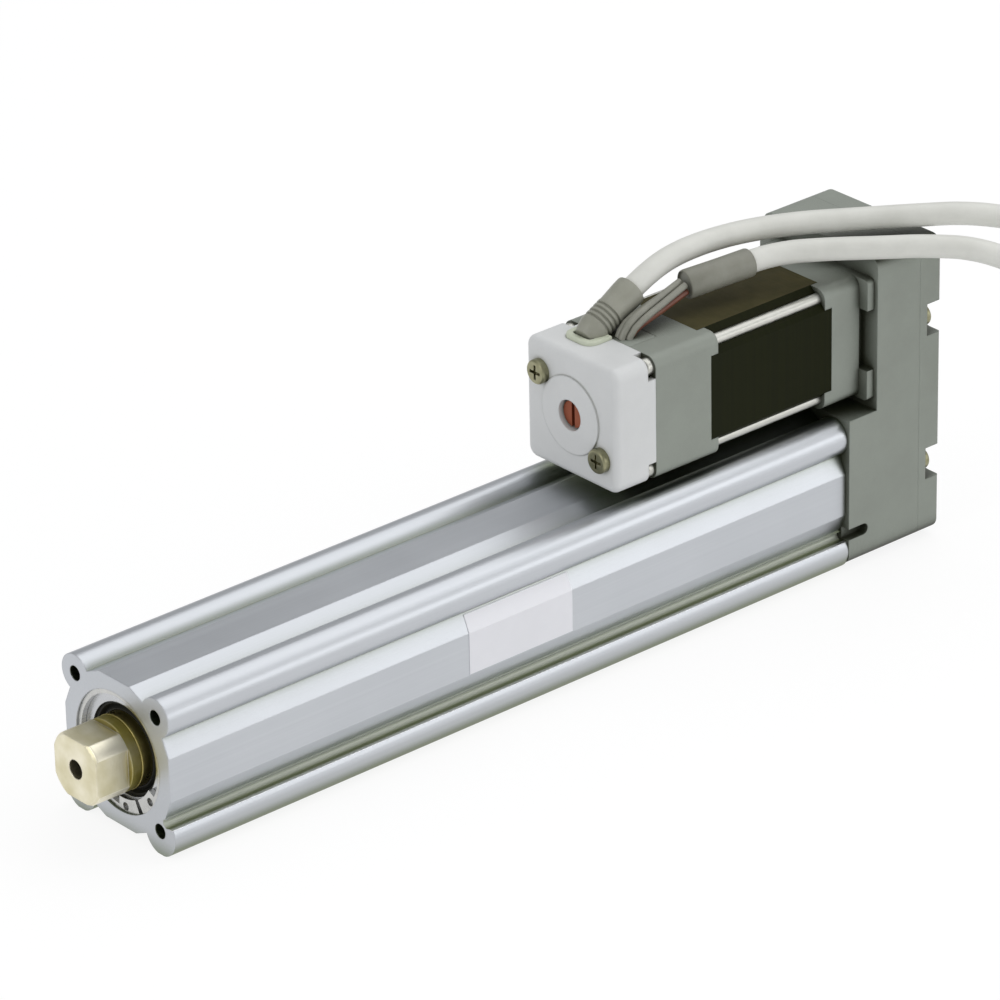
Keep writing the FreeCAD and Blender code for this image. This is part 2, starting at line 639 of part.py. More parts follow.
def make_motor_body():
    """Laminated stack between two end castings, held by bolts in its cut corners."""
    bolt_hole = M25_LOW[0] + seat_gap
    winding_room = pole_root
    x_ear = x_stack_front - ear_length
    cap = rounded_bar(x_ear, x_cap_front, motor_half, motor_z, cap_round)
    cap = cap.cut(prism(stack_outline(seat_gap), x_ear, x_stack_front))
    x_wall = x_cap_front - motor_bearing_width - 2
    cap_cuts = [disc(x_stack_front, x_wall, winding_room, 0, motor_z),
                disc(x_wall, x_wall + motor_bearing_width, motor_bearing_radius + seat_gap, 0, motor_z),
                disc(x_wall, x_cap_front, shaft_radius + free_gap, 0, motor_z)]
    cap_cuts += [disc(x_ear, x_cap_front, bolt_hole, y, motor_z + z) for y, z in square(tie_bolt_offset)]
    cap_cuts += [disc(x_wall + 1, x_cap_front, M25[0] + seat_gap, *place) for place in cover_screw_places()]
    notch_left = outlet_right - outlet_width
    cap_cuts.append(block(x_cap_front - wire_notch_length, x_cap_front, notch_left, wire_notch_right,
                          motor_top - wire_notch_depth, motor_top))
    parts["motor_front_cap"] = cap.cut(cap_cuts)

    x_stack = (x_flange_front, x_stack_front)
    stack = prism(stack_outline(), *x_stack).cut(disc(*x_stack, pole_root, 0, motor_z))
    poles, coils = [], []
    tip = rotor_radius + free_gap
    for k in range(pole_count):
        pole_half = pole_width / 2
        pole = block(*x_stack, -pole_half, pole_half, tip, pole_root + 0.5)
        coil_half = pole_half + coil_wall
        coil = block(x_flange_front - coil_overhang, x_stack_front + coil_overhang, -coil_half, coil_half,
                     tip + 0.9, pole_root - 0.9)
        hole_half = pole_half + seat_gap
        coil = coil.cut(block(x_flange_front - seat_gap, x_stack_front + seat_gap, -hole_half, hole_half,
                              tip, pole_root))
        for shape, group in ((pole, poles), (coil, coils)):
            shape.rotate(Vector(0, 0, 0), Vector(1, 0, 0), 360 * (k + 0.5) / pole_count)
            shape.translate(Vector(0, 0, motor_z))
            group.append(shape)
    stack = all_of([stack] + poles)
    parts["stator_stack"] = stack.cut([disc(x_flange_front, x_stack_front, bolt_hole, y, motor_z + z)
                                       for y, z in square(tie_bolt_offset)])
    parts["windings"] = Part.makeCompound(coils)

    x_ear = x_flange_front + ear_length
    flange = rounded_bar(x_adapter_front, x_ear, motor_half, motor_z, cap_round)
    flange = flange.cut(prism(stack_outline(seat_gap), x_flange_front, x_ear))
    x_pilot = x_adapter_front - pilot_length
    flange = all_of([flange, disc(x_pilot, x_adapter_front, pilot_radius, 0, motor_z)])
    x_bearing = x_pilot + 1.2
    x_room = x_bearing + motor_bearing_width
    flange_cuts = [disc(x_room, x_flange_front, winding_room, 0, motor_z),
                   disc(x_bearing, x_room, motor_bearing_radius + seat_gap, 0, motor_z),
                   disc(x_pilot, x_bearing, shaft_radius + free_gap, 0, motor_z)]
    x_thread_end = x_adapter_front + motor_screw_reach - upper_wall - adapter_thickness + free_gap
    flange_cuts += [disc(x_adapter_front, x_thread_end, M25[0] + seat_gap, y, motor_z + z)
                    for y, z in square(motor_screw_offset)]
    bolt_places = [(y, motor_z + z) for y, z in square(tie_bolt_offset)]
    flange_cuts += [disc(x_thread_end, x_ear, bolt_hole, *place) for place in bolt_places]
    parts["motor_flange"] = flange.cut(flange_cuts)
    reach = x_cap_front - x_thread_end - seat_gap
    bolts = [screw(x_cap_front, 1, *place, M25_LOW, reach, "hex") for place in bolt_places]
    parts["tie_bolts"] = Part.makeCompound(bolts)
    make_rotor(x_wall, x_bearing)


def make_rotor(x_front_seat, x_rear_seat):
    """Shaft with the rotor, its two bearings, and what rides on its front end."""
    x_override = x_motor_front - cover_front_wall
    x_shaft_front = x_override - override_length + 1.5
    parts["motor_shaft"] = disc(x_plate_front + free_gap * 2, x_shaft_front, shaft_radius, 0, motor_z)
    outers, inners, balls = [], [], []
    for x in (x_front_seat, x_rear_seat):
        outer_ring, inner_ring, row = ball_bearing(
            x, x + motor_bearing_width, motor_bearing_radius, 1.2, shaft_radius + seat_gap, 1.2,
            motor_ball_radius, ball_count, motor_z)
        outers.append(outer_ring)
        inners.append(inner_ring)
        balls += row
    parts["motor_bearing_outers"] = Part.makeCompound(outers)
    parts["motor_bearing_inners"] = Part.makeCompound(inners)
    parts["motor_bearing_balls"] = Part.makeCompound(balls)
    middle = (x_flange_front + x_stack_front) / 2
    bore = shaft_radius + seat_gap
    magnet_half = (stack_length / 2 - rotor_cup) / 2
    cups = []
    for side in RIGHT_LEFT:
        x_near = middle + side * magnet_half
        cups.append(ring(x_near, x_near + side * rotor_cup, rotor_radius, bore, 0, motor_z))
    parts["rotor_cups"] = Part.makeCompound(cups)
    x_magnet = (middle - magnet_half, middle + magnet_half)
    parts["rotor_magnet"] = ring(*x_magnet, rotor_radius - 0.5, bore, 0, motor_z)
    x_disc = x_cap_front + board_thickness + 1.5
    parts["encoder_disc"] = ring(x_disc, x_disc + 1.0, encoder_radius, bore, 0, motor_z)
    x_knob_rear = x_override - override_length
    knob = disc(x_knob_rear, x_motor_front - 0.6, override_radius, 0, motor_z)
    slot = block(x_override, x_motor_front, -0.45, 0.45, motor_z - override_radius, motor_z + override_radius)
    parts["override_screw"] = knob.cut([disc(x_knob_rear, x_shaft_front, bore, 0, motor_z), slot])


def make_motor_adapter():
    """Plate between the motor and the return box, cut away at its sides."""
    half = adapter_width / 2
    plate = block(x_upper_front, x_adapter_front, -half, half, motor_z - motor_half, motor_z + motor_half)
    plate = plate.makeFillet(1.0, long_edges(plate))
    cuts = [disc(x_upper_front, x_adapter_front, pilot_radius + seat_gap, 0, motor_z)]
    for side in RIGHT_LEFT:
        root = side * (half - adapter_notch_depth)
        cuts.append(block(x_upper_front, x_adapter_front, root, side * (half + 1),
                          motor_z - adapter_notch_half, motor_z + adapter_notch_half))
    cuts += [disc(x_upper_front, x_adapter_front, M25[0] + seat_gap, y, motor_z + z)
             for y, z in square(motor_screw_offset)]
    return plate.cut(cuts)


def make_motor_cover():
    """Moulded cover over the encoder, with the cables' outlet in its top and corners cut for bolt heads."""
    shell = rounded_bar(x_cap_front, x_motor_front, motor_half, motor_z, cover_round)
    front = [e for e in shell.Edges if abs(e.CenterOfMass.x - x_motor_front) < 1e-6]
    shell = shell.makeFillet(cover_round * 0.6, front)
    x_inside = x_motor_front - cover_front_wall
    inner_round = cover_round - cover_wall + 0.4
    shell = shell.cut(rounded_bar(x_cap_front, x_inside, motor_half - cover_wall, motor_z, inner_round))
    additions = [disc(x_inside, x_motor_front + cover_ring_rise, cover_ring_radius, 0, motor_z)]
    screws = cover_screw_places()
    x_boss = x_motor_front - cover_front_wall / 2
    additions += [disc(x_cap_front, x_boss, M25[0] + 1.2, *place) for place in screws]
    shell = all_of([shell] + additions)
    cuts = [disc(x_inside, x_motor_front + cover_ring_rise, override_hole, 0, motor_z)]
    cuts += [disc(x_cap_front, x_motor_front, M25[0] + seat_gap, *place) for place in screws]
    cuts.append(outlet_block(0.0, motor_z + motor_half - cover_wall - 1, motor_top + 1))
    x_relief = x_cap_front + M25_LOW[2] + free_gap
    relief_inner = tie_bolt_offset - M25_LOW[1] - 2 * running_gap
    for side in RIGHT_LEFT:
        for level in RIGHT_LEFT:
            cuts.append(block(x_cap_front, x_relief, side * relief_inner, side * motor_half,
                              motor_z + level * relief_inner, motor_z + level * motor_half))
    parts["motor_cover"] = shell.cut(cuts)
    parts["cover_screws"] = Part.makeCompound(
        [screw(x_motor_front, 1, *place, M25_WIDE, cover_screw_reach) for place in screws])
    x_board = (x_cap_front + seat_gap, x_cap_front + board_thickness)
    parts["encoder_board"] = ring(*x_board, board_radius, shaft_radius + 1, 0, motor_z)


def outlet_block(shrink, z0, z1):
    """Bar that fills the cable outlet, rounded at its front corners."""
    left = outlet_right - outlet_width + shrink
    bar = block(x_cap_front, x_cap_front + outlet_length - shrink, left, outlet_right - shrink, z0, z1)
    front = [e for e in bar.Edges if abs(e.CenterOfMass.x - (x_cap_front + outlet_length - shrink)) < 1e-6
             and abs(e.Vertexes[0].Point.z - e.Vertexes[1].Point.z) > 0.1]
    return bar.makeFillet(2.5, front)


def route_wire(points):
    """Straight runs joined by tangent arcs, each as large as its two runs allow. Prints the radii."""
    edges, radii = [], []
    last = points[0]
    for before, corner, after in zip(points, points[1:], points[2:]):
        arriving, leaving = (corner - before), (after - corner)
        reach = 0.45 * min(arriving.Length, leaving.Length)
        arriving.normalize()
        leaving.normalize()
        turn = arriving.getAngle(leaving)
        radius = reach / math.tan(turn / 2)
        start, end = corner - arriving * reach, corner + leaving * reach
        inward = leaving - arriving
        inward.normalize()
        middle = corner + inward * (radius / math.cos(turn / 2) - radius)
        edges += [Part.LineSegment(last, start).toShape(), Part.Arc(start, middle, end).toShape()]
        radii.append(round(radius, 1))
        last = end
    edges.append(Part.LineSegment(last, points[-1]).toShape())
    print("route radii", radii)
    return Part.Wire(edges)


def lead(points, radius):
    """Tube along a route, with its volume set against its section times its length."""
    path = route_wire(points)
    along = points[1] - points[0]
    section = Part.Wire(Part.Circle(points[0], along, radius).toShape())
    tube = path.makePipeShell([section], True, False)
    ideal = math.pi * radius ** 2 * path.Length
    print("lead length", round(path.Length, 1), "volume ratio", round(tube.Volume / ideal, 4))
    return tube


def straight_sleeve(start, end, radius):
    """Round bar between two points."""
    return Part.makeCylinder(radius, (end - start).Length, start, end - start)


def connector(place, heading, length, width, height):
    """Nylon plug housing on the floor, its back face at the lead's end."""
    housing = block(0, length, -width / 2, width / 2, 0, height)
    housing = housing.makeChamfer(0.6, long_edges(housing))
    rows = 2
    columns = 3
    wall = 1.2
    cell_y = (width - wall) / columns - wall
    cell_z = (height - wall) / rows - wall
    pockets = []
    for row in range(rows):
        for column in range(columns):
            y = -width / 2 + wall + column * (cell_y + wall)
            z = wall + row * (cell_z + wall)
            pockets.append(block(length - 6, length, y, y + cell_y, z, z + cell_z))
    latch = all_of([block(length * 0.25, length * 0.85, -width * 0.15, width * 0.15, height, height + 0.8),
                    block(length * 0.7, length * 0.85, -width * 0.15, width * 0.15, height, height + 1.6)])
    housing = all_of([housing.cut(pockets), latch])
    housing.rotate(Vector(0, 0, 0), Vector(0, 0, 1), math.degrees(math.atan2(heading.y, heading.x)))
    housing.translate(Vector(place.x, place.y, z_floor))
    return housing


def make_leads():
    """Two leads that come out of the cover, over the motor and the box, and down to the floor."""
    anchor = Vector(x_cap_front, 0, motor_top)
    far_start, far_exit = sleeve_ends()
    parts["far_sleeve"] = straight_sleeve(far_start, far_exit, far_sleeve_radius)
    near_start, near_join, near_exit = [anchor + Vector(*p) for p in (
        (-3.0, 2.9, 1.1), (-20.3, 0.8, 5.9), (-36.0, 3.8, 7.2))]
    bend = (near_join - near_start).getAngle(near_exit - near_join)
    slack = near_wires_radius * math.tan(bend) + seat_gap
    near_end = near_join + (near_start - near_join) * (slack / (near_start - near_join).Length)
    parts["near_wires"] = straight_sleeve(near_start, near_end, near_wires_radius)
    parts["near_sleeve"] = straight_sleeve(near_join, near_exit, near_sleeve_radius)

    lying = z_floor + cable_radius
    far_aloft = ((-26.0, -4.4, 11.0), (-40.3, -4.2, 10.2), (-54.0, -1.0, 9.0), (-65.0, 5.8, 8.7),
                 (-75.0, 12.3, 8.6), (-86.0, 19.3, 8.2), (-97.0, 26.5, 5.0), (-106.5, 32.0, -2.0),
                 (-114.0, 35.6, -14.0))
    far_floor = ((-119.0, 37.0, 32.0), (-124.0, 36.8, 17.0), (-132.0, 34.5, 5.0), (-145.0, 28.0, 0.0),
                 (-157.0, 20.0, 0.0), (-166.0, 9.0, 0.0))
    near_aloft = ((-52.0, 11.4, 7.7), (-60.1, 17.9, 7.6), (-68.0, 23.4, 7.4), (-77.0, 30.0, 6.2),
                  (-86.0, 37.0, 1.0), (-93.0, 43.2, -8.5))
    near_floor = ((-97.8, 47.4, 40.0), (-102.0, 49.8, 25.0), (-109.0, 50.4, 11.0), (-121.0, 49.0, 2.0),
                  (-135.0, 46.2, 0.0), (-150.0, 40.5, 0.0), (-163.0, 31.5, 0.0))
    far = ("far", far_start, far_exit, far_aloft, far_floor, (20.0, 13.0, 8.4))
    near = ("near", near_join, near_exit, near_aloft, near_floor, (18.0, 11.0, 7.6))
    for name, back, start, high, low, size in (far, near):
        along = start - back
        along.normalize()
        points = [start, start + along * first_run] + [anchor + Vector(*p) for p in high]
        points += [Vector(x_cap_front + x, y, lying + z) for x, y, z in low]
        parts[name + "_cable"] = lead(points, cable_radius)
        parts[name + "_connector"] = connector(points[-1], points[-1] - points[-2], *size)


def sleeve_ends():
    """Start of the far sleeve inside the cover's outlet, and its end above the motor."""
    anchor = Vector(x_cap_front, 0, motor_top)
    return anchor + Vector(4.0, -3.5, 0.0), anchor + Vector(-9.5, -3.6, 7.0)


def make_grommet():
    """Rubber lining of the cable outlet, moulded round the far sleeve."""
    body = outlet_block(seat_gap, motor_top - wire_notch_depth, motor_top + 0.7)
    start, end = sleeve_ends()
    along = end - start
    along.normalize()
    hole = Part.makeCylinder(far_sleeve_radius + seat_gap, 40, start - along * 12, along)
    return body.cut(hole)


def make_label():
    """Blank label that follows the side's flat and the facet above it."""
    bend = (flat_reach, flat_half)
    fall = facet_fall * (label_high - flat_half)
    slant = math.cos(math.radians(facet_slope))
    skin = label_thickness
    outline = [(flat_reach, label_low), bend, (flat_reach - fall, label_high),
               (flat_reach - fall + skin / slant, label_high),
               (flat_reach + skin, flat_half), (flat_reach + skin, label_low)]
    middle = x_tube_rear / 2
    return prism(outline, middle - label_length / 2, middle + label_length / 2)


parts["body_tube"] = make_body_tube()
make_nose()
make_bumpers()
make_rod()
make_piston()
make_screw_drive()
parts["return_box"] = make_return_box()
parts["return_plate"] = make_return_plate()
make_box_screws()
make_belt_drive()
make_motor_body()
parts["motor_adapter"] = make_motor_adapter()
make_motor_cover()
make_leads()
parts["cable_grommet"] = make_grommet()
parts["name_label"] = make_label()

os.makedirs("parts", exist_ok=True)
for name, shape in parts.items():
    shape.exportStep("parts/" + name + ".step")
print(len(parts), "parts, tube", round(-x_tube_rear, 2), "whole", round(-x_plate_rear, 2))
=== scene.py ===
import math
import bmesh
import bpy
from mathutils import Matrix, Vector


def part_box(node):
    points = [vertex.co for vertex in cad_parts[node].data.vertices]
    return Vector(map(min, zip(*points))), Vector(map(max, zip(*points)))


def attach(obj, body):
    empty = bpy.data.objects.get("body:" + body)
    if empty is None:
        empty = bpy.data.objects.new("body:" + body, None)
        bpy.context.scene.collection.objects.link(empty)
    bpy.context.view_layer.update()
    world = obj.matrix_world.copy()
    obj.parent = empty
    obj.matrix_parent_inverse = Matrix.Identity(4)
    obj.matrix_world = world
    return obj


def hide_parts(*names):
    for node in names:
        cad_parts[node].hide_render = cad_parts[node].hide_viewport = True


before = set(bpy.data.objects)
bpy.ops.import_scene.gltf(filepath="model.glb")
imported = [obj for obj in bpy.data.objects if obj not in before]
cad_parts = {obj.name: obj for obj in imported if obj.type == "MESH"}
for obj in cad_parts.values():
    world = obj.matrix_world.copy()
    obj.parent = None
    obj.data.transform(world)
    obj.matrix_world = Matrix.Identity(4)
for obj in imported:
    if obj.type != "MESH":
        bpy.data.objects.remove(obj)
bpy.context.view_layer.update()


# Body tube
# An aluminium extrusion with four round ribs, sawn to length, drilled and tapped at its ends and
# below, then anodised satin silver. A painted reflection makes the slopes above its grooves paler,
# and painted shade darkens the grooves, their floors, its sole, and where the motor and the box
# come close. Everything else is fastened to it or runs inside it.

def node(tree, kind, inputs=None, **settings):
    """A shader node with its settings. Each input takes a value, or the output that feeds it."""
    made = tree.nodes.new("ShaderNode" + kind)
    for name, value in settings.items():
        setattr(made, name, value)
    for name, value in (inputs or {}).items():
        if isinstance(value, bpy.types.NodeSocket):
            tree.links.new(value, made.inputs[name])
        else:
            made.inputs[name].default_value = value
    return made


def work_out(tree, operation, *inputs, **settings):
    """The result of a Math node on values or outputs."""
    return node(tree, "Math", dict(enumerate(inputs)), operation=operation, **settings).outputs["Value"]


def spread_out(tree, value, low, high, first=0.0, last=1.0):
    """A value rescaled so that low gives first and high gives last, and held there beyond them."""
    inputs = {"Value": value, "From Min": low, "From Max": high, "To Min": first, "To Max": last}
    return node(tree, "MapRange", inputs).outputs["Result"]


def noise(tree, place, scale, detail, rough=0.5, **settings):
    """Cloudy noise over a place."""
    inputs = {"Vector": place, "Scale": scale, "Detail": detail, "Roughness": rough}
    return node(tree, "TexNoise", inputs, **settings).outputs["Fac"]


def own_place(tree):
    """Where a point lies on its piece, in metres."""
    return node(tree, "TexCoord").outputs["Object"]


def split(tree, vector):
    """The X, Y and Z of a vector."""
    return node(tree, "SeparateXYZ", {"Vector": vector}).outputs


def distance(tree, across, up):
    """How far a point lies from a line along X, out of its two offsets."""
    offset = node(tree, "CombineXYZ", {"Y": across, "Z": up}).outputs["Vector"]
    return node(tree, "VectorMath", {0: offset}, operation="LENGTH").outputs["Value"]


def new_group(name, given):
    """An empty node group with number inputs, and the outputs of its input node."""
    group = bpy.data.node_groups.new(name, "ShaderNodeTree")
    for label, value in given.items():
        socket = group.interface.new_socket(label, in_out="INPUT", socket_type="NodeSocketFloat")
        socket.default_value = value
    return group, group.nodes.new("NodeGroupInput").outputs


def give_out(group, results):
    """The group with its results as named outputs."""
    for label, value in results.items():
        kind = "NodeSocketVector" if value.type == "VECTOR" else "NodeSocketFloat"
        group.interface.new_socket(label, in_out="OUTPUT", socket_type=kind)
    end = group.nodes.new("NodeGroupOutput")
    for label, value in results.items():
        group.links.new(value, end.inputs[label])
    return group


def place_group(tree, group, values):
    """The outputs of a node group placed in a material or another group with its own values."""
    made = tree.nodes.new("ShaderNodeGroup")
    made.node_tree = group
    for name, value in values.items():
        made.inputs[name].default_value = value
    return made.outputs


def make_soft_edges():
    """Broken edges: the normal turns over within Width of an edge, and Edge marks where."""
    group, given = new_group("soft_edges", {"Width": 0.0003})
    rounded = node(group, "Bevel", {"Radius": given["Width"]}, samples=4).outputs["Normal"]
    plain = node(group, "NewGeometry").outputs["Normal"]
    match = node(group, "VectorMath", {0: rounded, 1: plain}, operation="DOT_PRODUCT").outputs["Value"]
    edge = spread_out(group, match, low=0.995, high=0.80)
    return give_out(group, {"Normal": rounded, "Edge": edge})


def make_drawn_skin():
    """Faint die lines along X, with slow patches between them."""
    group, given = new_group("drawn_skin", {"Fine": 1500.0})
    place = own_place(group)
    drawn_out = node(group, "Mapping", {"Vector": place, "Scale": (0.006, 1.0, 1.0)}).outputs["Vector"]
    lines = noise(group, drawn_out, given["Fine"], detail=3.0, rough=0.6)
    patches = noise(group, place, scale=45.0, detail=3.0)
    half_patches = work_out(group, "MULTIPLY", patches, 0.5)
    shade = work_out(group, "MULTIPLY_ADD", lines, 0.5, half_patches)
    return give_out(group, {"Height": lines, "Shade": shade})


soft_edges = make_soft_edges()
drawn_skin = make_drawn_skin()


def finish(name, light, dark, metal, rough, skin, depth, edge=0.0003, worn=0.25, **sockets):
    """A finish that wanders between two colours and two roughnesses with a skin group's Shade.

    depth is the skin's relief in metres, edge the width of the broken edges, and worn how far the
    light colour comes through on them. Other sockets are set on the shader as they are named."""
    made = bpy.data.materials.new(name)
    made.use_nodes = True
    tree = made.node_tree
    shader = tree.nodes["Principled BSDF"]
    shader.inputs["Metallic"].default_value = metal
    for label, value in sockets.items():
        shader.inputs[label.replace("_", " ")].default_value = value
    pattern = place_group(tree, *skin)
    corners = place_group(tree, soft_edges, {"Width": edge})
    shade = spread_out(tree, pattern["Shade"], low=0.3, high=0.7)
    wear = work_out(tree, "MULTIPLY_ADD", corners["Edge"], worn, shade, use_clamp=True)
    colour = node(tree, "MixRGB", {"Fac": wear, "Color1": (*dark, 1), "Color2": (*light, 1)})
    gloss = spread_out(tree, shade, 0.0, 1.0, *rough)
    relief = node(tree, "Bump", {"Height": pattern["Height"], "Distance": depth,
                                 "Normal": corners["Normal"]})
    tree.links.new(colour.outputs["Color"], shader.inputs["Base Color"])
    tree.links.new(gloss, shader.inputs["Roughness"])
    tree.links.new(relief.outputs["Normal"], shader.inputs["Normal"])
    return made


def paint(made, *names):
    """Put a finish on CAD nodes."""
    for name in names:
        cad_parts[name].material_slots[0].material = made


def make_tube_tones():
    """Where light and shade are painted on the tube: painted shade in the side grooves, darker along
    their floors, a painted reflection on the slopes above them, painted shade on its sole, and Beside,
    where the motor, the box and the bench lay painted shade on it."""
    group, given = new_group("tube_tones", {
        "Slope Level": -0.0070, "Slope Half": 0.0030, "Slope Lean": -0.496, "Lip Level": -0.0111,
        "Lip Out": 0.0157, "Sole Top": -0.0122, "Sole Low": -0.0164, "Flat Half": 0.0105,
        "Rear End": -0.172})
    place = split(group, own_place(group))
    facing = split(group, node(group, "NewGeometry").outputs["True Normal"])
    side = work_out(group, "ABSOLUTE", place["Y"])
    lengthwise = work_out(group, "LESS_THAN", work_out(group, "ABSOLUTE", facing["X"]), 0.5)
    tones = {}
    for label, out, level, squeeze, far, near in (("Groove", 0.0140, -0.0104, 0.65, 0.0011, 0.0010),
                                                  ("Groove Floor Shade", 0.0152, -0.0111, 1.0, 0.0010, 0.0005)):
        across = work_out(group, "MULTIPLY", work_out(group, "SUBTRACT", side, out), squeeze)
        up = work_out(group, "SUBTRACT", place["Z"], level)
        inside = spread_out(group, distance(group, across, up), far, near)
        tones[label] = work_out(group, "MULTIPLY", inside, lengthwise)
    leaning = work_out(group, "COMPARE", facing["Z"], given["Slope Lean"], 0.06)
    at_slope = work_out(group, "COMPARE", place["Z"], given["Slope Level"], given["Slope Half"])
    slope = work_out(group, "MULTIPLY", leaning, at_slope)
    on_lip = work_out(group, "COMPARE", place["Z"], given["Lip Level"], 0.00006)
    past_groove = work_out(group, "GREATER_THAN", side, given["Lip Out"])
    tones["Slope"] = work_out(group, "MULTIPLY_ADD", on_lip, past_groove, slope)
    low_down = spread_out(group, place["Z"], given["Sole Top"], given["Sole Low"], last=0.75)
    tones["Sole"] = work_out(group, "MULTIPLY", low_down, lengthwise)
    off_flat = work_out(group, "GREATER_THAN", work_out(group, "ABSOLUTE", place["Z"]),
                        given["Flat Half"])
    behind = work_out(group, "LESS_THAN", place["X"], given["Rear End"])
    tones["Beside"] = work_out(group, "MAXIMUM", off_flat, behind)
    return give_out(group, tones)


def make_crevice_shade(name, own):
    """A mask for painted shade: 1 in gaps and corners within Reach of a surface, 0 where it lies
    Open. With own, only the piece itself shuts it in."""
    group, given = new_group(name, {"Reach": 0.005, "Open": 0.9, "Shut": 0.35})
    openness = node(group, "AmbientOcclusion", {"Distance": given["Reach"]}, samples=8, only_local=own)
    mask = spread_out(group, openness.outputs["AO"], given["Open"], given["Shut"])
    return give_out(group, {"Mask": mask})


def lay_over(made, mask, colour):
    """Put a second colour over a finish where the mask, an output in its own tree, is 1."""
    tree = made.node_tree
    base = tree.nodes["Principled BSDF"].inputs["Base Color"]
    under = base.links[0].from_socket
    over = node(tree, "MixRGB", {"Fac": mask, "Color1": under, "Color2": (*colour, 1)})
    tree.links.new(over.outputs["Color"], base)


satin_anodising = finish("satin_anodising", light=(0.58, 0.60, 0.63), dark=(0.52, 0.54, 0.57), metal=1.0,
                         rough=(0.34, 0.42), skin=(drawn_skin, {"Fine": 1500.0}), depth=0.00003,
                         edge=0.0004)
tree = satin_anodising.node_tree
crevice_shade = make_crevice_shade("crevice_shade", own=False)
gap_shade = place_group(tree, crevice_shade, {"Reach": 0.006})["Mask"]
own_gap_shade = place_group(tree, make_crevice_shade("own_crevice_shade", own=True), {"Reach": 0.006})["Mask"]
tones = place_group(tree, make_tube_tones(), {})
tube_shade = work_out(tree, "MAXIMUM", work_out(tree, "MULTIPLY", gap_shade, tones["Beside"]), own_gap_shade)
# Painted shade: the sole is painted darker towards the bottom, where the bench's shadow falls.
lay_over(satin_anodising, tones["Sole"], (0.28, 0.29, 0.26))
# Painted shade in the tube's own creases, under the motor, and beside the box and the bench.
lay_over(satin_anodising, tube_shade, (0.150, 0.180, 0.095))
# Painted reflection: the slopes above the grooves and the grooves' outer lips are painted paler.
lay_over(satin_anodising, tones["Slope"], (0.96, 0.97, 1.00))
# Painted shade: a dull pale olive inside the side grooves, with the metal dulled there too.
lay_over(satin_anodising, tones["Groove"], (0.55, 0.58, 0.50))
# Painted shade: darker again along the grooves' floors.
lay_over(satin_anodising, tones["Groove Floor Shade"], (0.30, 0.33, 0.21))
dulled = spread_out(tree, tones["Groove"], 0.0, 1.0, first=1.0, last=0.2)
tree.links.new(dulled, tree.nodes["Principled BSDF"].inputs["Metallic"])
paint(satin_anodising, "body_tube")


# Rod cover, bush, seal, retaining ring and bumpers
# The cover is turned aluminium with a bronze bush and a lip seal pressed in, and a snap ring of
# spring steel holds it in the tube's nose. Rubber bumpers catch the piston at both ends.

def make_turned_skin():
    """Lathe marks about an axis along X: rings on end faces and hoops on round ones."""
    group, given = new_group("turned_skin", {"Axis Z": 0.0, "Fine": 3500.0})
    place = own_place(group)
    parts = split(group, place)
    level = work_out(group, "SUBTRACT", parts["Z"], given["Axis Z"])
    radius = distance(group, parts["Y"], level)
    marks_at = node(group, "CombineXYZ", {"X": parts["X"], "Y": radius}).outputs["Vector"]
    marks = noise(group, marks_at, given["Fine"], detail=2.0, noise_dimensions="2D")
    patches = noise(group, place, scale=160.0, detail=3.0)
    return give_out(group, {"Height": marks, "Shade": patches})


def make_grain_skin():
    """Fine even grain, as on a casting, a moulding or rubber, with slow patches of shade."""
    group, given = new_group("grain_skin", {"Fine": 2500.0, "Patch": 110.0})
    place = own_place(group)
    grain = noise(group, place, given["Fine"], detail=4.0, rough=0.65)
    patches = noise(group, place, given["Patch"], detail=4.0, rough=0.6)
    return give_out(group, {"Height": grain, "Shade": patches})


turned_skin = make_turned_skin()
grain_skin = make_grain_skin()
turned_aluminium = finish("turned_aluminium", light=(0.62, 0.63, 0.65), dark=(0.52, 0.53, 0.55), metal=1.0,
                          rough=(0.22, 0.34), skin=(turned_skin, {"Axis Z": 0.0}), depth=0.00002,
                          edge=0.0002)
paint(turned_aluminium, "rod_cover")
bush_bronze = finish("bush_bronze", light=(0.55, 0.38, 0.18), dark=(0.42, 0.27, 0.11), metal=1.0,
                     rough=(0.28, 0.42), skin=(turned_skin, {"Axis Z": 0.0}), depth=0.00002, edge=0.0001)
paint(bush_bronze, "rod_bush")
black_rubber = finish("black_rubber", light=(0.020, 0.020, 0.016), dark=(0.011, 0.011, 0.009), metal=0.0,
                      rough=(0.60, 0.75), skin=(grain_skin, {"Fine": 4000.0, "Patch": 200.0}),
                      depth=0.00003, edge=0.0002, worn=0.15, Specular_IOR_Level=0.3)
paint(black_rubber, "rod_seal", "front_bumper", "rear_bumper")
spring_steel = finish("spring_steel", light=(0.66, 0.66, 0.64), dark=(0.50, 0.50, 0.49), metal=1.0,
                      rough=(0.22, 0.36), skin=(grain_skin, {"Fine": 3000.0, "Patch": 500.0}),
                      depth=0.00002, edge=0.0001)
paint(spring_steel, "retaining_ring")


# Rod and wrench socket
# The hollow rod is steel, ground and chromed. Its socket is milled from round bar with four flats
# for a wrench and a tapped hole for the load, screwed into the rod's end and plated yellow with it.

rod_chrome = finish("rod_chrome", light=(0.66, 0.665, 0.67), dark=(0.55, 0.555, 0.56), metal=1.0,
                    rough=(0.26, 0.36), skin=(turned_skin, {"Axis Z": 0.0, "Fine": 2200.0}),
                    depth=0.00001, edge=0.0004)
tree = rod_chrome.node_tree
along = split(tree, own_place(tree))["X"]
yellow_end = spread_out(tree, along, low=-0.0050, high=-0.0046)
lay_over(rod_chrome, yellow_end, (0.66, 0.57, 0.22))
paint(rod_chrome, "piston_rod")


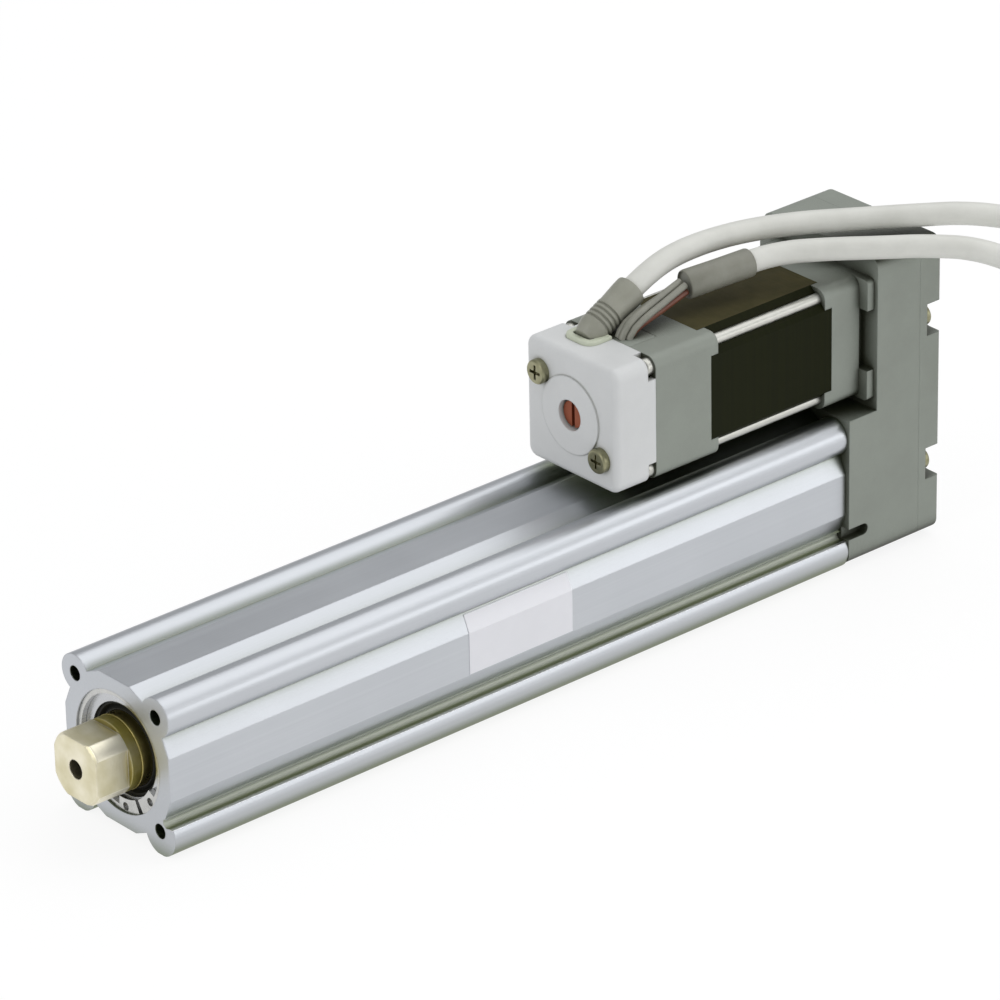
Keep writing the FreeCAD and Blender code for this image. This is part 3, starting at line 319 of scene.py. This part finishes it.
def make_socket_skin():
    """Turned marks, with painted shade on the collar, lighter by Lift on the flats ahead of its
    shoulder, and a painted highlight, lighter again, on the strips of round bar left between the flats."""
    group, given = new_group("socket_skin", {"Shoulder": 0.0025, "Bar Radius": 0.0078, "Lift": 0.27,
                                             "Bright": 0.30})
    marks = place_group(group, turned_skin, {"Axis Z": 0.0, "Fine": 2200.0})
    place = split(group, own_place(group))
    ahead = work_out(group, "GREATER_THAN", place["X"], given["Shoulder"])
    radius = distance(group, place["Y"], place["Z"])
    round_left = work_out(group, "GREATER_THAN", radius, given["Bar Radius"])
    highlit_strips = work_out(group, "MULTIPLY", round_left, ahead)
    collar = work_out(group, "MULTIPLY_ADD", marks["Shade"], 0.45, 0.095)
    flats = work_out(group, "MULTIPLY_ADD", ahead, given["Lift"], collar)
    shade = work_out(group, "MULTIPLY_ADD", highlit_strips, given["Bright"], flats)
    return give_out(group, {"Height": marks["Height"], "Shade": shade})


# Painted shade darkens the collar, and a painted highlight lightens the strips between the flats.
socket_nickel = finish("socket_nickel", light=(0.92, 0.87, 0.70), dark=(0.42, 0.36, 0.09), metal=1.0,
                       rough=(0.44, 0.38), skin=(make_socket_skin(), {}), depth=0.00002, edge=0.0004)
# Painted shade: near-black laid into the tapped hole and the socket's corners.
gap_shade = place_group(socket_nickel.node_tree, crevice_shade, {"Reach": 0.004, "Open": 0.75, "Shut": 0.25})
lay_over(socket_nickel, gap_shade["Mask"], (0.028, 0.024, 0.010))
paint(socket_nickel, "rod_socket")


# Piston
# A turned aluminium piston carries a ring magnet for the switches, a resin wear ring, and a resin
# key that slides in the tube's groove and keeps the rod from turning.

paint(turned_aluminium, "piston", "magnet_holder")
magnet_black = finish("magnet_black", light=(0.050, 0.050, 0.055), dark=(0.028, 0.028, 0.030), metal=0.0,
                      rough=(0.40, 0.58), skin=(grain_skin, {"Fine": 2800.0, "Patch": 260.0}),
                      depth=0.00003)
paint(magnet_black, "magnet")
guide_resin = finish("guide_resin", light=(0.55, 0.47, 0.32), dark=(0.44, 0.37, 0.24), metal=0.0,
                     rough=(0.38, 0.52), skin=(grain_skin, {"Fine": 1800.0, "Patch": 220.0}),
                     depth=0.00002)
paint(guide_resin, "wear_ring", "rotation_guide")


# Screw drive
# A ground steel screw turns in two ball bearings at the tube's rear and drives the nut in the
# piston. A stopper ring and a lock nut hold the bearings in their turned housing.

paint(turned_aluminium, "bearing_housing")
ground_steel = finish("ground_steel", light=(0.66, 0.66, 0.66), dark=(0.54, 0.54, 0.55), metal=1.0,
                      rough=(0.12, 0.24), skin=(turned_skin, {"Axis Z": 0.0, "Fine": 5000.0}),
                      depth=0.00001, edge=0.0002)
paint(ground_steel, "drive_screw", "ball_nut", "bearing_outer_rings", "bearing_inner_rings",
      "bearing_balls", "bearing_stopper", "lock_nut")


# Return box and lid
# Both are aluminium die castings with a matt grey coat. The box is screwed to the tube, the belt
# runs inside it, and four screws in scallops at the sides hold the lid.

cast_coat = finish("cast_coat", light=(0.308, 0.334, 0.294), dark=(0.266, 0.288, 0.252), metal=0.15,
                   rough=(0.42, 0.58), skin=(grain_skin, {"Fine": 2200.0, "Patch": 90.0}),
                   depth=0.00005, edge=0.0004, worn=0.35)
# Painted shade: near-black laid into the castings' gaps and corners, as between flange and box.
gap_shade = place_group(cast_coat.node_tree, crevice_shade, {"Reach": 0.008, "Open": 0.88, "Shut": 0.42})
lay_over(cast_coat, gap_shade["Mask"], (0.030, 0.034, 0.018))
paint(cast_coat, "return_box", "return_plate")
zinc_plate = finish("zinc_plate", light=(0.60, 0.60, 0.56), dark=(0.50, 0.50, 0.46), metal=1.0,
                    rough=(0.34, 0.46), skin=(grain_skin, {"Fine": 2600.0, "Patch": 260.0}),
                    depth=0.00001, edge=0.0003)
paint(zinc_plate, "body_screws", "motor_screws")
olive_chromate = finish("olive_chromate", light=(0.37, 0.36, 0.24), dark=(0.26, 0.25, 0.15), metal=1.0,
                        rough=(0.28, 0.40), skin=(grain_skin, {"Fine": 2600.0, "Patch": 400.0}),
                        depth=0.00001, edge=0.0003)
paint(olive_chromate, "plate_screws")


# Belt drive
# A rubber timing belt with moulded teeth runs over two equal aluminium pulleys, so the screw turns
# once for each turn of the motor.

motor_axis = 0.034
paint(turned_aluminium, "screw_pulley")
turned_at_motor = finish("turned_at_motor", light=(0.62, 0.63, 0.65), dark=(0.52, 0.53, 0.55), metal=1.0,
                         rough=(0.22, 0.34), skin=(turned_skin, {"Axis Z": motor_axis}), depth=0.00002,
                         edge=0.0002)
paint(turned_at_motor, "motor_pulley")
paint(black_rubber, "drive_belt")


# Motor stator
# A stack of punched steel sheets under dark varnish, wound with copper, between two grey castings.
# Four long bolts in the stack's cut corners draw the castings together.

def make_sheet_skin():
    """Edges of stacked sheets: thin bands across X, each a little higher or darker than the next."""
    group, given = new_group("sheet_skin", {"Sheet": 0.0005})
    place = own_place(group)
    along = split(group, place)["X"]
    sheet = work_out(group, "FLOOR", work_out(group, "DIVIDE", along, given["Sheet"]))
    chance = node(group, "TexWhiteNoise", {"W": sheet}, noise_dimensions="1D").outputs["Value"]
    patches = noise(group, place, scale=260.0, detail=4.0)
    blend = node(group, "MixRGB", {"Fac": 0.5, "Color1": chance, "Color2": patches}).outputs["Color"]
    return give_out(group, {"Height": chance, "Shade": blend})


def make_painted_top_sheen():
    """1 on faces that look up, patchy: where a painted sheen makes a top lighter."""
    group, given = new_group("painted_top_sheen", {"Patch": 300.0})
    facing = split(group, node(group, "NewGeometry").outputs["True Normal"])
    upward = spread_out(group, facing["Z"], low=0.75, high=0.98)
    patches = noise(group, own_place(group), given["Patch"], detail=4.0)
    thick = spread_out(group, patches, low=0.25, high=0.75, first=0.7, last=1.0)
    return give_out(group, {"Mask": work_out(group, "MULTIPLY", upward, thick)})


sheet_skin = make_sheet_skin()
dark_varnish = finish("dark_varnish", light=(0.0125, 0.0143, 0.0036), dark=(0.0100, 0.0117, 0.0028),
                      metal=0.0, rough=(0.54, 0.60), skin=(sheet_skin, {"Sheet": 0.0005}),
                      depth=0.000004, Specular_IOR_Level=0.07)
# Painted sheen: the stack's and cups' upward faces are painted a lighter brown.
sheen_on_top = place_group(dark_varnish.node_tree, make_painted_top_sheen(), {})
lay_over(dark_varnish, sheen_on_top["Mask"], (0.080, 0.070, 0.030))
paint(dark_varnish, "stator_stack", "rotor_cups")
copper_wire = finish("copper_wire", light=(0.62, 0.30, 0.16), dark=(0.45, 0.20, 0.10), metal=1.0,
                     rough=(0.25, 0.40), skin=(sheet_skin, {"Sheet": 0.0004}), depth=0.00010)
paint(copper_wire, "windings")
paint(cast_coat, "motor_front_cap", "motor_flange", "motor_adapter")
paint(zinc_plate, "tie_bolts")


# Motor rotor
# The shaft carries two toothed cups about a magnet, runs in two small ball bearings, and has the
# encoder disc and a slotted bronze screw for turning it by hand on its front end.

steel_at_motor = finish("steel_at_motor", light=(0.66, 0.66, 0.66), dark=(0.54, 0.54, 0.55), metal=1.0,
                        rough=(0.12, 0.24), skin=(turned_skin, {"Axis Z": motor_axis, "Fine": 5000.0}),
                        depth=0.00001, edge=0.0002)
paint(steel_at_motor, "motor_shaft", "motor_bearing_outers", "motor_bearing_inners",
      "motor_bearing_balls")
paint(magnet_black, "rotor_magnet")
disc_film = finish("disc_film", light=(0.50, 0.52, 0.54), dark=(0.38, 0.40, 0.43), metal=0.0,
                   rough=(0.08, 0.16), skin=(turned_skin, {"Axis Z": motor_axis, "Fine": 3000.0}),
                   depth=0.00001, edge=0.0001)
paint(disc_film, "encoder_disc")
override_bronze = finish("override_bronze", light=(0.33, 0.095, 0.045), dark=(0.22, 0.055, 0.025),
                         metal=0.6, rough=(0.35, 0.50),
                         skin=(turned_skin, {"Axis Z": motor_axis, "Fine": 2500.0}), depth=0.00003,
                         edge=0.0002)
paint(override_bronze, "override_screw")


# Motor cover
# A moulded white resin cap over the encoder, held by two cross-head screws at opposite corners,
# with its rear corners cut away round the bolt heads.

white_resin = finish("white_resin", light=(0.76, 0.77, 0.77), dark=(0.71, 0.72, 0.72), metal=0.0,
                     rough=(0.42, 0.54), skin=(grain_skin, {"Fine": 1600.0, "Patch": 70.0}),
                     depth=0.00003, edge=0.0005, worn=0.2)
# Painted shade: a darker grey laid along the cover's recesses and corners.
gap_shade = place_group(white_resin.node_tree, crevice_shade, {"Reach": 0.0014, "Open": 0.85, "Shut": 0.25})
lay_over(white_resin, gap_shade["Mask"], (0.36, 0.37, 0.33))
paint(white_resin, "motor_cover")
paint(olive_chromate, "cover_screws")
board_green = finish("board_green", light=(0.030, 0.16, 0.07), dark=(0.018, 0.10, 0.045), metal=0.0,
                     rough=(0.28, 0.42), skin=(grain_skin, {"Fine": 1500.0, "Patch": 400.0}),
                     depth=0.00003)
paint(board_green, "encoder_board")


# Cable outlet
# A soft rubber grommet, moulded with a raised lip, lines the outlet in the cover's top and keeps
# its edge from cutting the leads.

def add_piece(name, shape, made):
    """A piece of the scene out of a finished bmesh, shaded smooth below 35 degrees."""
    bmesh.ops.remove_doubles(shape, verts=shape.verts, dist=1e-7)
    bmesh.ops.recalc_face_normals(shape, faces=shape.faces)
    for face in shape.faces:
        face.smooth = True
    for edge in shape.edges:
        edge.smooth = len(edge.link_faces) == 2 and edge.calc_face_angle() < math.radians(35)
    mesh = bpy.data.meshes.new(name)
    shape.to_mesh(mesh)
    shape.free()
    mesh.materials.append(made)
    piece = bpy.data.objects.new(name, mesh)
    bpy.context.scene.collection.objects.link(piece)
    return piece


def mould_lip(back, front, far, near, foot, height, corner, wall, rim_round, pocket_depth):
    """A block with two round corners in front, a pocket sunk in its top and the rim rounded."""
    shape = bmesh.new()
    corners = [shape.verts.new(place) for place in ((back, far, foot), (front, far, foot),
                                                    (front, near, foot), (back, near, foot))]
    shape.faces.new(corners)
    bmesh.ops.bevel(shape, geom=corners[1:3], offset=corner, affect="VERTICES", segments=8, profile=0.5,
                    material=-1)
    grown = bmesh.ops.extrude_face_region(shape, geom=list(shape.faces))["geom"]
    raised = [part for part in grown if isinstance(part, bmesh.types.BMVert)]
    bmesh.ops.translate(shape, verts=raised, vec=(0, 0, height))
    top = next(part for part in grown if isinstance(part, bmesh.types.BMFace))
    rim = list(top.edges)
    bmesh.ops.inset_region(shape, faces=[top], thickness=wall, use_even_offset=True)
    rim += list(top.edges)
    bmesh.ops.bevel(shape, geom=rim, offset=rim_round, affect="EDGES", segments=3, profile=0.5, material=-1)
    level = [face for face in shape.faces if face.normal.z > 0.99]
    pocket = max(level, key=lambda face: face.calc_area())
    sunk = bmesh.ops.extrude_face_region(shape, geom=[pocket])["geom"]
    bmesh.ops.delete(shape, geom=[pocket], context="FACES_ONLY")
    bmesh.ops.translate(shape, verts=[part for part in sunk if isinstance(part, bmesh.types.BMVert)],
                        vec=(0, 0, -pocket_depth))
    return shape


grommet_rubber = finish("grommet_rubber", light=(0.66, 0.70, 0.56), dark=(0.58, 0.62, 0.48), metal=0.0,
                        rough=(0.40, 0.55), skin=(grain_skin, {"Fine": 2500.0, "Patch": 300.0}),
                        depth=0.00003, edge=0.0004)
lip = mould_lip(back=-0.13195, front=-0.12555, far=-0.00785, near=0.00075, foot=0.0460, height=0.0028,
                corner=0.0024, wall=0.0012, rim_round=0.0003, pocket_depth=0.0012)
grommet = add_piece("outlet_grommet", lip, grommet_rubber)
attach(grommet, "frame")
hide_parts("cable_grommet")


# Boot and sleeve
# One lead leaves the grommet in a moulded grey boot with rings that let it bend. The other has a
# sleeve of grey tubing shrunk on where its loose wires enter the cable.

def spin_between(outline, start, end):
    """Outline of radii and shares of the way, spun about the line between two points."""
    way = end - start
    sideways = way.orthogonal().normalized()
    shape = bmesh.new()
    corners = [shape.verts.new(start + way * share + sideways * radius) for radius, share in outline]
    edges = [shape.edges.new(pair) for pair in zip(corners, corners[1:])]
    bmesh.ops.spin(shape, geom=corners + edges, cent=start, axis=way.normalized(), angle=2 * math.pi,
                   steps=48, use_merge=True)
    return shape


sleeve_grey = finish("sleeve_grey", light=(0.36, 0.36, 0.30), dark=(0.28, 0.28, 0.23), metal=0.0,
                     rough=(0.32, 0.48), skin=(grain_skin, {"Fine": 1800.0, "Patch": 160.0}),
                     depth=0.00004, edge=0.0003)
far_mouth = Vector((-0.1280, -0.0035, 0.0480))
far_exit = Vector((-0.1415, -0.0036, 0.0550))
ring_radius, neck_radius = 0.0034, 0.0030
first_ring, ring_step, ring_count = 0.26, 0.075, 4
boot_outline = [(0, 0), (0.0023, 0), (0.0026, 0.02), (0.0031, 0.12), (ring_radius, 0.20),
                (ring_radius, 0.25)]
for ring in range(ring_count):
    low = first_ring + ring_step * ring
    boot_outline += [(neck_radius, low), (neck_radius, low + 0.025), (ring_radius, low + 0.032),
                     (ring_radius, low + 0.068)]
boot_outline += [(0.0033, 0.58), (0.0035, 0.86), (0.0035, 0.96), (0.0034, 0.985), (0.0031, 1), (0, 1)]
boot = add_piece("far_boot", spin_between(boot_outline, far_mouth, far_exit), sleeve_grey)
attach(boot, "frame")
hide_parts("far_sleeve")

shrink_grey = finish("shrink_grey", light=(0.27, 0.27, 0.225), dark=(0.21, 0.21, 0.17), metal=0.0,
                     rough=(0.32, 0.48), skin=(grain_skin, {"Fine": 1800.0, "Patch": 160.0}),
                     depth=0.00004, edge=0.0003)
near_join = Vector((-0.1523, 0.0008, 0.0539))
near_exit = Vector((-0.1680, 0.0038, 0.0552))
sleeve_outline = [(0, 0.03), (0.0027, 0.03), (0.0029, 0), (0.0031, 0.01), (0.0032, 0.04), (0.0031, 0.5),
                  (0.0031, 0.97), (0.0030, 0.99), (0.0028, 1), (0, 1)]
sleeve = add_piece("near_shrink_sleeve", spin_between(sleeve_outline, near_join, near_exit), shrink_grey)
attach(sleeve, "frame")
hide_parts("near_sleeve")


# Loose wires
# Five thin wires in vinyl, one of them brown, come up through a notch in the casting that is filled
# with sealing compound, and run twisted into the shrunk-on sleeve.

def run_wires(path, count, wire_radius, lay_radius, first_lay, twist):
    """Loose wires along a path, a ring of each at every point, joined and closed at both ends."""
    shape = bmesh.new()
    for wire in range(count):
        loops = []
        for step, place in enumerate(path):
            way = (path[min(step + 1, len(path) - 1)] - path[max(step - 1, 0)]).normalized()
            side = way.cross(Vector((0, 0, 1))).normalized()
            rise = side.cross(way)
            lay = first_lay + 2 * math.pi * wire / count - twist * (1 - step / (len(path) - 1))
            middle = place + (side * math.cos(lay) + rise * math.sin(lay)) * lay_radius
            facing = Matrix((side, rise, side.cross(rise))).transposed().to_4x4()
            ring = bmesh.ops.create_circle(shape, segments=12, radius=wire_radius,
                                           matrix=Matrix.Translation(middle) @ facing)
            loops.append(list({edge for vert in ring["verts"] for edge in vert.link_edges}))
        faces = []
        for one, two in zip(loops, loops[1:]):
            faces += bmesh.ops.bridge_loops(shape, edges=one + two)["faces"]
        for loop in (loops[0], loops[-1]):
            faces += bmesh.ops.contextual_create(shape, geom=loop)["faces"]
        for face in faces:
            face.material_index = 1 if wire == 0 else 0
    return shape


def fill_notch(shape, size, middle, edge_round):
    """Sealing compound in the casting's notch, level with its top and a little round at the edges."""
    bed = bmesh.ops.create_cube(shape, size=1.0)["verts"]
    bmesh.ops.scale(shape, verts=bed, vec=size)
    bmesh.ops.translate(shape, verts=bed, vec=middle)
    edges = list({edge for vert in bed for edge in vert.link_edges})
    rounded = bmesh.ops.bevel(shape, geom=edges, offset=edge_round, affect="EDGES", segments=2,
                              profile=0.5, material=-1)
    for face in {face for vert in rounded["verts"] for face in vert.link_faces}:
        face.material_index = 2


wire_sheath = finish("wire_sheath", light=(0.32, 0.32, 0.27), dark=(0.24, 0.24, 0.20), metal=0.0,
                     rough=(0.34, 0.46), skin=(grain_skin, {"Fine": 1800.0, "Patch": 240.0}),
                     depth=0.00002, edge=0.0002)
brown_sheath = finish("brown_sheath", light=(0.22, 0.075, 0.040), dark=(0.16, 0.050, 0.028), metal=0.0,
                      rough=(0.34, 0.46), skin=(grain_skin, {"Fine": 1800.0, "Patch": 240.0}),
                      depth=0.00002, edge=0.0002)
wire_path = [Vector(place) for place in (
    (-0.1345, 0.0016, 0.0474), (-0.1350, 0.0017, 0.0486), (-0.1362, 0.0018, 0.0499),
    (-0.1382, 0.0018, 0.0508), (-0.1411, 0.0016, 0.0515), (-0.1445, 0.0014, 0.0522),
    (-0.1482, 0.0011, 0.0530), (-0.1515, 0.0009, 0.0537))]
bundle = run_wires(wire_path, count=5, wire_radius=0.00076, lay_radius=0.00130,
                   first_lay=math.radians(-35), twist=0.9)
fill_notch(bundle, size=(0.00748, 0.01388, 0.0024), middle=(-0.13575, -0.00095, 0.04678),
           edge_round=0.00005)
wires = add_piece("near_loose_wires", bundle, wire_sheath)
wires.data.materials.append(brown_sheath)
wires.data.materials.append(cast_coat)
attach(wires, "frame")
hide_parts("near_wires")


# Leads
# Two round cables in pale vinyl, stiff enough to run back over the motor and the box before they
# drop to the bench. Each ends in a nylon plug.

vinyl = finish("vinyl", light=(0.80, 0.80, 0.75), dark=(0.72, 0.72, 0.67), metal=0.0, rough=(0.34, 0.46),
               skin=(grain_skin, {"Fine": 1400.0, "Patch": 120.0}), depth=0.00003)
nylon = finish("nylon", light=(0.70, 0.69, 0.63), dark=(0.62, 0.61, 0.55), metal=0.0, rough=(0.36, 0.48),
               skin=(grain_skin, {"Fine": 1500.0, "Patch": 150.0}), depth=0.00002)
cable_diameter = 0.005
far_route = [(-0.1415, -0.0036, 0.0550), (-0.14727, -0.00364, 0.05799), (-0.1580, -0.0044, 0.0590),
             (-0.1723, -0.0042, 0.0582), (-0.1860, -0.0010, 0.0570), (-0.1970, 0.0058, 0.0567),
             (-0.2070, 0.0123, 0.0566), (-0.2180, 0.0193, 0.0562), (-0.2290, 0.0265, 0.0530),
             (-0.2385, 0.0320, 0.0460), (-0.2460, 0.0356, 0.0340), (-0.2510, 0.0370, 0.01647),
             (-0.2560, 0.0368, 0.00147), (-0.2640, 0.0345, -0.01053), (-0.2770, 0.0280, -0.01553),
             (-0.2890, 0.0200, -0.01553), (-0.2980, 0.0090, -0.01553)]
near_route = [(-0.1680, 0.0038, 0.0552), (-0.17436, 0.00502, 0.05573), (-0.1840, 0.0114, 0.0557),
              (-0.1921, 0.0179, 0.0556), (-0.2000, 0.0234, 0.0554), (-0.2090, 0.0300, 0.0542),
              (-0.2180, 0.0370, 0.0490), (-0.2250, 0.0432, 0.0395), (-0.2298, 0.0474, 0.02447),
              (-0.2340, 0.0498, 0.00947), (-0.2410, 0.0504, -0.00453), (-0.2530, 0.0490, -0.01353),
              (-0.2670, 0.0462, -0.01553), (-0.2820, 0.0405, -0.01553), (-0.2950, 0.0315, -0.01553)]


def lay_cable(side, route):
    """A smooth round cable along a route, in place of the plain tube."""
    line = bpy.data.curves.new(side + "_lead", "CURVE")
    line.dimensions = "3D"
    line.bevel_depth = cable_diameter / 2
    line.bevel_resolution = 8
    line.resolution_u = 16
    line.use_fill_caps = True
    spline = line.splines.new("NURBS")
    spline.points.add(len(route) - 1)
    for point, place in zip(spline.points, route):
        point.co = (*place, 1.0)
    spline.order_u = 3
    spline.use_endpoint_u = True
    line.materials.append(vinyl)
    cable = bpy.data.objects.new(side + "_lead", line)
    bpy.context.scene.collection.objects.link(cable)
    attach(cable, "frame")
    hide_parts(side + "_cable")


lay_cable("far", far_route)
lay_cable("near", near_route)
paint(nylon, "far_connector", "near_connector")


# Label place
# A bare label of pressed white film, wrapped from the slope below the upper rib onto the flat of the
# tube's side and held by its own glue.

label_film = finish("label_film", light=(0.90, 0.90, 0.94), dark=(0.85, 0.85, 0.89), metal=0.1,
                    rough=(0.30, 0.38), skin=(grain_skin, {"Fine": 900.0, "Patch": 60.0}),
                    depth=0.00001, edge=0.0001)
paint(label_film, "name_label")


# Studio floor
# A wide white sheet on the bench. It shows its own white to the camera and in reflections, and
# keeps a soft shadow under the cylinder.

floor_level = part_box("body_tube")[0].z
floor_size = 12.0
shape = bmesh.new()
bmesh.ops.create_grid(shape, x_segments=1, y_segments=1, size=floor_size / 2)
bmesh.ops.translate(shape, verts=shape.verts, vec=(0, 0, floor_level))
floor_mesh = bpy.data.meshes.new("studio_floor")
shape.to_mesh(floor_mesh)
shape.free()
floor = bpy.data.objects.new("studio_floor", floor_mesh)
bpy.context.scene.collection.objects.link(floor)
white_sheet = bpy.data.materials.new("white_sheet")
white_sheet.use_nodes = True
tree = white_sheet.node_tree
paper = tree.nodes["Principled BSDF"]
paper.inputs["Base Color"].default_value = (0.92, 0.92, 0.92, 1)
paper.inputs["Roughness"].default_value = 0.9
paper.inputs["Specular IOR Level"].default_value = 0.1
mirrored_share = 0.9
own_white_share = 0.82
own_white = node(tree, "Emission", {"Strength": 1.06}).outputs["Emission"]
rays = node(tree, "LightPath").outputs
mirrored = work_out(tree, "MULTIPLY", rays["Is Glossy Ray"], mirrored_share)
seen = work_out(tree, "MAXIMUM", rays["Is Camera Ray"], mirrored)
seen_through = work_out(tree, "MAXIMUM", seen, rays["Is Transmission Ray"])
share = work_out(tree, "MULTIPLY", seen_through, own_white_share)
mixed = node(tree, "MixShader", {"Fac": share, 1: paper.outputs["BSDF"], 2: own_white})
tree.links.new(mixed.outputs["Shader"], tree.nodes["Material Output"].inputs["Surface"])
floor_mesh.materials.append(white_sheet)


# Studio light
# A pale room, a large soft box overhead, two at the right, high and low, that draw the bright
# bands along the tube's ribs and facets, and one in front.

lit_point = Vector((-0.1, 0.0, 0.02))


def soft_box(name, towards, away, wide, high, radiance):
    """A square lamp of that radiance, in that direction from the cylinder and facing it."""
    lamp = bpy.data.lights.new(name, "AREA")
    lamp.shape = "RECTANGLE"
    lamp.size = wide
    lamp.size_y = high
    lamp.energy = radiance * wide * high * math.pi
    box = bpy.data.objects.new(name, lamp)
    way = Vector(towards).normalized()
    box.location = lit_point + way * away
    box.rotation_euler = way.to_track_quat("Z", "Y").to_euler()
    bpy.context.scene.collection.objects.link(box)


soft_box("overhead_box", towards=(-0.45, -0.10, 0.85), away=1.2, wide=1.1, high=1.1, radiance=1.05)
soft_box("upper_right_box", towards=(-0.56, 0.46, 0.69), away=1.25, wide=0.8, high=0.55, radiance=0.9)
soft_box("right_box", towards=(-0.58, 0.79, 0.22), away=1.2, wide=0.9, high=0.45, radiance=1.6)
soft_box("front_box", towards=(0.90, 0.10, 0.45), away=1.4, wide=0.7, high=0.7, radiance=2.2)
room = bpy.data.worlds.new("pale_room")
room.use_nodes = True
room.node_tree.nodes["Background"].inputs["Color"].default_value = (0.98, 0.99, 1.0, 1)
room.node_tree.nodes["Background"].inputs["Strength"].default_value = 0.50
bpy.context.scene.world = room
bpy.context.scene.view_settings.view_transform = "Standard"


# Camera
# A long lens from the front right corner, a little above, as the photograph was taken. Its turn,
# rise and lean were fitted to the tube's edges, and the shift only frames the cylinder.

aim = Vector((-0.095, 0.0, 0.012))
turn = math.radians(49.577)
rise = math.radians(26.993)
lean = math.radians(-1.269)
stand_off = 1.3432
back = Vector((math.cos(rise) * math.cos(turn), math.cos(rise) * math.sin(turn), math.sin(rise)))
level_right = Vector((-math.sin(turn), math.cos(turn), 0))
level_up = back.cross(level_right)
right = level_right * math.cos(lean) + level_up * math.sin(lean)
up = level_up * math.cos(lean) - level_right * math.sin(lean)
lens = bpy.data.cameras.new("camera")
lens.sensor_width = 36.0
lens.lens = 235.06
lens.shift_x = 0.0219
lens.shift_y = 0.0490
camera = bpy.data.objects.new("camera", lens)
facing = Matrix((right, up, back)).transposed().to_4x4()
camera.matrix_world = Matrix.Translation(aim + back * stand_off) @ facing
bpy.context.scene.collection.objects.link(camera)
bpy.context.scene.camera = camera
